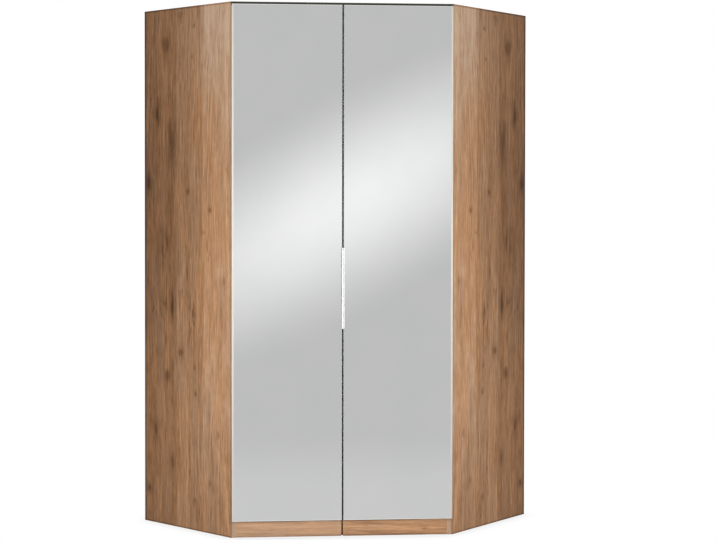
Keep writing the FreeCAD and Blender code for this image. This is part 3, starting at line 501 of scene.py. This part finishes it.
def plain_wood(name, dark, light, ring_scale):
    """Solid wood with upright grain."""
    p = Paint(name)
    x, y, z = p.place()
    sway = p.grit((x, y, z), 20.0, 20.0, 1.2)
    bent = p.add(x, p.times(y, 0.6), p.swing(sway, 0.03))
    rings = p.span(p.math("SINE", p.times(bent, ring_scale)), -1.0, 1.0, 0.0, 1.0)
    fine = p.grit((x, y, z), 500.0, 500.0, 8.0, detail=3.0)
    level = p.add(p.times(rings, 0.5), p.times(fine, 0.5))
    colour = p.shades(level, (0.2, dark), (0.8, light))
    return p.finish(colour, p.add(0.62, p.swing(fine, 0.2)), level, depth=0.0003)


def plated(name, dark, light, rough, edge):
    """Plated steel: faint crystal patches, fine rubbing marks, and edges that are brighter by edge."""
    p = Paint(name)
    place = p.place()
    patches = p.cells(p.vector(*place), 420.0)
    tone, _, _ = p.parts(patches.outputs["Color"])
    marks = p.grit(place, 1500.0, 1500.0, 160.0, detail=3.0)
    level = p.add(p.times(tone, 0.5), p.times(marks, 0.5))
    colour = p.shades(level, (0.2, dark), (0.8, light))
    worn_and_highlit = p.edge_wear_and_highlight(0.0006, edge, colour, STEEL_WORN_AND_HIGHLIT)
    p.set(metallic=1.0)
    return p.finish(worn_and_highlit, p.add(rough, p.swing(level, 0.16)), marks, depth=0.0001, strength=0.2)


def brushed(name, dark, light, rough, metal, floor_shade, lip_shade):
    """Anodised aluminium, brushed along its length. Painted shade darkens it towards the floor
    and behind the lip of a handle; the last two values give how much."""
    p = Paint(name)
    x, y, z = p.place()
    lines = p.grit((x, y, z), 2600.0, 2600.0, 9.0, detail=3.0, rough=0.6)
    clouds = p.grit((x, y, z), 30.0, 30.0, 5.0)
    level = p.add(p.times(lines, 0.6), p.times(clouds, 0.4))
    colour = p.shades(level, (0.25, dark), (0.75, light))
    worn_and_highlit = p.edge_wear_and_highlight(0.0006, 0.5, colour, ALUMINIUM_WORN_AND_HIGHLIT)
    behind_lip = p.math("GREATER_THAN", y, LIP_BACK)
    # painted shade: darker towards the floor and behind the lips of the handles
    painted_shade = p.add(p.span(z, 0.2, 1.2, floor_shade, 0.0), p.times(behind_lip, lip_shade))
    p.set(metallic=metal)
    shaded = p.mix(painted_shade, worn_and_highlit, BLACK)
    return p.finish(shaded, p.add(rough, p.swing(lines, 0.16)), lines, depth=0.00005, strength=0.25)


def mirror_glass(name):
    """Silvered float glass: a faint unevenness on the face, pale polished edges."""
    p = Paint(name)
    place = p.place()
    film = p.grit(place, 5.0, 5.0, 5.0, detail=4.0)
    specks = p.grit(place, 700.0, 700.0, 700.0)
    silver = p.shades(film, (0.3, linear(243, 245, 244)), (0.7, linear(246, 247, 246)))
    face_x, face_y, _ = p.facing()
    level_face = p.math("LESS_THAN", p.math("ABSOLUTE", face_x), 0.5)
    face = p.times(level_face, p.math("GREATER_THAN", p.math("ABSOLUTE", face_y), 0.5))
    cut = p.shades(specks, (0.3, linear(140, 148, 144)), (0.7, linear(166, 172, 168)))
    p.set(metallic=face)
    dust = p.times(p.span(specks, 0.55, 0.8, 0.0, 1.0), 0.012)
    rough = p.add(p.span(face, 0.0, 1.0, 0.16, 0.004), dust)
    return p.finish(p.mix(face, cut, silver), rough, film, depth=0.00002, strength=0.1)


def foam(name):
    """Dark foam tape with fine bubbles."""
    p = Paint(name)
    place = p.place()
    bubbles = p.cells(p.vector(*place), 1400.0).outputs["Distance"]
    clouds = p.grit(place, 60.0, 60.0, 60.0, detail=3.0)
    level = p.add(p.times(bubbles, 0.8), p.times(clouds, 0.4))
    colour = p.shades(level, (0.2, linear(40, 40, 42)), (0.9, linear(86, 86, 88)))
    return p.finish(colour, p.add(0.85, p.swing(clouds, 0.2)), bubbles, depth=0.0003)


def soft_pad(name):
    """Clear soft bumper."""
    p = Paint(name)
    haze = p.grit(p.place(), 900.0, 900.0, 900.0, detail=3.0)
    colour = p.shades(haze, (0.3, linear(206, 206, 200)), (0.7, linear(238, 238, 232)))
    p.set(transmission_weight=0.55, ior=1.45)
    return p.finish(colour, p.add(0.34, p.swing(haze, 0.3)), haze, depth=0.0002)


# Material slots of the record: how each is made, and with which values
RECIPES = {
    "oak_decor": (oak_panel,),
    "oak_plinth": (oak_plinth,),
    "inner_decor": (taupe_foil,),
    "door_decor": (taupe_foil,),
    # dark_edging: dark foil, darkened further as painted shade of the gap above the doors
    "dark_edging": (streaky, linear(46, 43, 35), linear(64, 60, 50), 0.45, (6.0, 700.0, 700.0)),
    # dark_board: near-black brown as painted shade, so the rail seen through the plinth gap looks like
    # the dark hollow behind it
    "dark_board": (streaky, linear(26, 19, 13), linear(50, 38, 28), 0.5, (400.0, 8.0, 400.0)),
    "white_plastic": (streaky, linear(214, 212, 205), linear(232, 230, 224), 0.42, (240.0, 240.0, 240.0)),
    "grey_plastic": (streaky, linear(128, 129, 130), linear(154, 155, 156), 0.40, (260.0, 260.0, 260.0)),
    "raw_board": (particle_board,),
    "hardboard": (hardboard,),
    "softwood": (plain_wood, linear(184, 152, 112), linear(216, 190, 152), 700.0),
    "beech": (plain_wood, linear(192, 148, 108), linear(222, 184, 146), 2400.0),
    "zinc_steel": (plated, linear(168, 170, 172), linear(214, 215, 213), 0.34, 0.5),
    "nickel_steel": (plated, linear(186, 184, 178), linear(222, 220, 214), 0.24, 0.5),
    "chrome_tube": (plated, linear(224, 225, 226), linear(240, 240, 240), 0.12, 0.3),
    # trim: painted shade towards the floor; handle: painted shade behind the lip
    "trim_aluminium": (brushed, linear(202, 195, 185), linear(218, 212, 203), 0.36, 0.45, 0.16, 0.0),
    "handle_aluminium": (brushed, linear(210, 210, 210), linear(220, 220, 220), 0.25, 0.2, 0.0, 0.5),
    "mirror_glass": (mirror_glass,),
    "foam_tape": (foam,),
    "clear_rubber": (soft_pad,),
}
FINISHES = {name: maker(name, *values) for name, (maker, *values) in RECIPES.items()}
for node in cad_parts.values():
    for slot in node.material_slots:
        slot.material = FINISHES[slot.material.name.split(".")[0]]


# Floor: white to the camera, with a faint shadow where the wardrobe stands
FLOOR_HALF = 12.0
FLOOR_GREY = (0.6, 0.6, 0.6, 1.0)
FLOOR_ROUGH = 0.9
SHADOW_REACH = 0.10
SHADOW_LIGHT = 0.86
SHADOW_FADE = (0.45, 0.95)  # share of open sky in the full shadow and at its end
floor_corners = [(-1, -1), (1, -1), (1, 1), (-1, 1)]
floor_points = [(FLOOR_HALF * x, FLOOR_HALF * y, 0.0) for x, y in floor_corners]
floor_mesh = bpy.data.meshes.new("floor")
floor_mesh.from_pydata(floor_points, [], [(0, 1, 2, 3)])
floor = bpy.data.objects.new("floor", floor_mesh)
bpy.context.collection.objects.link(floor)
floor.visible_glossy = False
floor_material = bpy.data.materials.new("floor_white")
floor_material.use_nodes = True
n = Nodes(floor_material.node_tree)
matt = n.tree.nodes["Principled BSDF"]
matt.inputs["Base Color"].default_value = FLOOR_GREY
matt.inputs["Roughness"].default_value = FLOOR_ROUGH
glow = n.node("Emission")
open_sky = n.node("AmbientOcclusion", samples=8)
open_sky.inputs["Distance"].default_value = SHADOW_REACH
n.feed(glow.inputs["Strength"], n.span(open_sky.outputs["AO"], *SHADOW_FADE, SHADOW_LIGHT, 1.0))
seen = n.mix_shader(n.node("LightPath").outputs["Is Camera Ray"], matt.outputs[0], glow.outputs[0])
n.feed(n.tree.nodes["Material Output"].inputs["Surface"], seen)
floor_mesh.materials.append(floor_material)

# Studio: white behind the object, a grey room with one soft lamp seen in the mirrors, even fill light.
# Light levels first, then directions: sideways or up over forward for the room ahead of the mirrors,
# parts of the unit direction for the rest.
ROOM_GREY = 0.555
LAMP_LIGHT = 0.40
FLOOR_LIGHT = 0.07
STRIP_LIGHT = 0.75
SIDE_GREY = 0.46
SIDE_BAND = 0.32
SIDE_TOP = 0.16
UNDER_LIGHT = 1.20
OVER_LIGHT = 1.00
FILL_LIGHT = 0.28
LEAST_FORWARD = 0.05
LAMP_SIDE = 0.073
LAMP_UP = -0.003
LAMP_TURN = math.radians(29.3)
LAMP_LONG = 0.236
LAMP_SHORT = 0.076
FLOOR_FADE = (-0.197, -0.155)
STRIP_LEFT = (-0.34, -0.24)
STRIP_RIGHT = (-0.06, -0.02)
BAND_SLOPE = (9.0, -6.0, 15.0)
BAND_START = 0.8
TOP_FADE = (0.3, 0.9)
UNDER_FADE = (-0.95, -0.80)
OVER_FADE = (0.80, 0.95)
BEHIND_FADE = (-0.35, -0.10)
AHEAD_FADE = (-0.90, -0.55)
world = bpy.data.worlds.new("studio")
world.use_nodes = True
bpy.context.scene.world = world
n = Nodes(world.node_tree)
way_x, way_y, way_z = n.parts(n.node("TexCoord").outputs["Generated"])
forward = n.math("MAXIMUM", n.times(way_y, -1.0), LEAST_FORWARD)
across = n.math("DIVIDE", way_x, forward)
side = n.less(across, LAMP_SIDE)
rise = n.math("DIVIDE", way_z, forward)
up = n.less(rise, LAMP_UP)
turn_x, turn_y = math.cos(LAMP_TURN), math.sin(LAMP_TURN)
lamp_x = n.add(n.times(side, turn_x / LAMP_LONG), n.times(up, turn_y / LAMP_LONG))
lamp_y = n.add(n.times(side, -turn_y / LAMP_SHORT), n.times(up, turn_x / LAMP_SHORT))
lamp = n.span(n.measure("LENGTH", n.vector(lamp_x, lamp_y, 0.0)), 0.0, 1.0, LAMP_LIGHT, 0.0)
ground = n.span(rise, *FLOOR_FADE, FLOOR_LIGHT, 0.0)
strip = n.times(n.span(across, *STRIP_RIGHT, STRIP_LIGHT, 0.0), n.span(across, *STRIP_LEFT, 0.0, 1.0))
room = n.add(ROOM_GREY, lamp, ground, strip)
slope_x, slope_y, slope_z = (n.times(way, scale) for way, scale in zip((way_x, way_y, way_z), BAND_SLOPE))
slope = n.add(slope_z, slope_x, slope_y, BAND_START)
band = n.span(n.math("SINE", slope), -1.0, 1.0, 0.0, SIDE_BAND)
behind = n.span(way_y, *BEHIND_FADE, 0.0, 1.0)
under = n.times(n.span(way_z, *UNDER_FADE, UNDER_LIGHT - SIDE_GREY, 0.0), behind)
over = n.times(n.span(way_z, *OVER_FADE, 0.0, OVER_LIGHT - SIDE_GREY), behind)
flank = n.add(SIDE_GREY, band, n.span(way_z, *TOP_FADE, 0.0, -SIDE_TOP), under, over)
ahead = n.span(way_y, *AHEAD_FADE, 1.0, 0.0)
path = n.node("LightPath")
white = n.node("Background")
fill = n.node("Background")
fill.inputs["Strength"].default_value = FILL_LIGHT
shine = n.node("Background")
n.feed(shine.inputs["Strength"], n.choose(ahead, flank, room))
for background in (white, fill, shine):
    background.inputs["Color"].default_value = WHITE
unseen = n.mix_shader(path.outputs["Is Glossy Ray"], fill.outputs[0], shine.outputs[0])
shown = n.mix_shader(path.outputs["Is Camera Ray"], unseen, white.outputs[0])
n.feed(n.tree.nodes["World Output"].inputs["Surface"], shown)


def softbox(name, place, target, width, height, power):
    """A soft area lamp that is only seen by its light."""
    lamp_data = bpy.data.lights.new(name, "AREA")
    lamp_data.shape = "RECTANGLE"
    lamp_data.size = width
    lamp_data.size_y = height
    lamp_data.energy = power
    box = bpy.data.objects.new(name, lamp_data)
    box.location = place
    reach = [there - here for here, there in zip(place, target)]
    level = math.hypot(reach[0], reach[1])
    box.rotation_euler = (math.atan2(level, -reach[2]), 0.0, math.atan2(reach[1], reach[0]) - math.pi / 2)
    box.visible_camera = False
    box.visible_glossy = False
    bpy.context.collection.objects.link(box)


# Lamps: place, target, width, height, power
softbox("front_softbox", (0.0, -2.9, 1.05), (0.0, -0.4, 1.05), 1.0, 2.0, 78.0)
softbox("top_softbox", (0.0, 0.1, 4.6), (0.0, 0.0, 2.0), 2.4, 2.4, 54.0)
softbox("rear_left_softbox", (-2.8, 2.8, 2.2), (-0.4, 0.2, 1.0), 1.6, 2.0, 98.0)
softbox("rear_right_softbox", (2.8, 2.8, 2.2), (0.4, 0.2, 1.0), 1.6, 2.0, 98.0)

camera_data = bpy.data.cameras.new("camera")
camera_data.sensor_width = SENSOR_WIDTH
camera_data.sensor_fit = "HORIZONTAL"
camera_data.lens = FOCAL_PIXELS / PHOTO_WIDTH * SENSOR_WIDTH
camera_data.shift_y = (AXIS_ROW - PHOTO_HEIGHT / 2) / PHOTO_WIDTH
camera = bpy.data.objects.new("camera", camera_data)
camera.location = CAMERA_PLACE
camera.rotation_euler = (math.pi / 2 - CAMERA_DIP, -CAMERA_ROLL, -CAMERA_YAW)
bpy.context.collection.objects.link(camera)
bpy.context.scene.camera = camera
bpy.context.scene.view_settings.view_transform = "Standard"
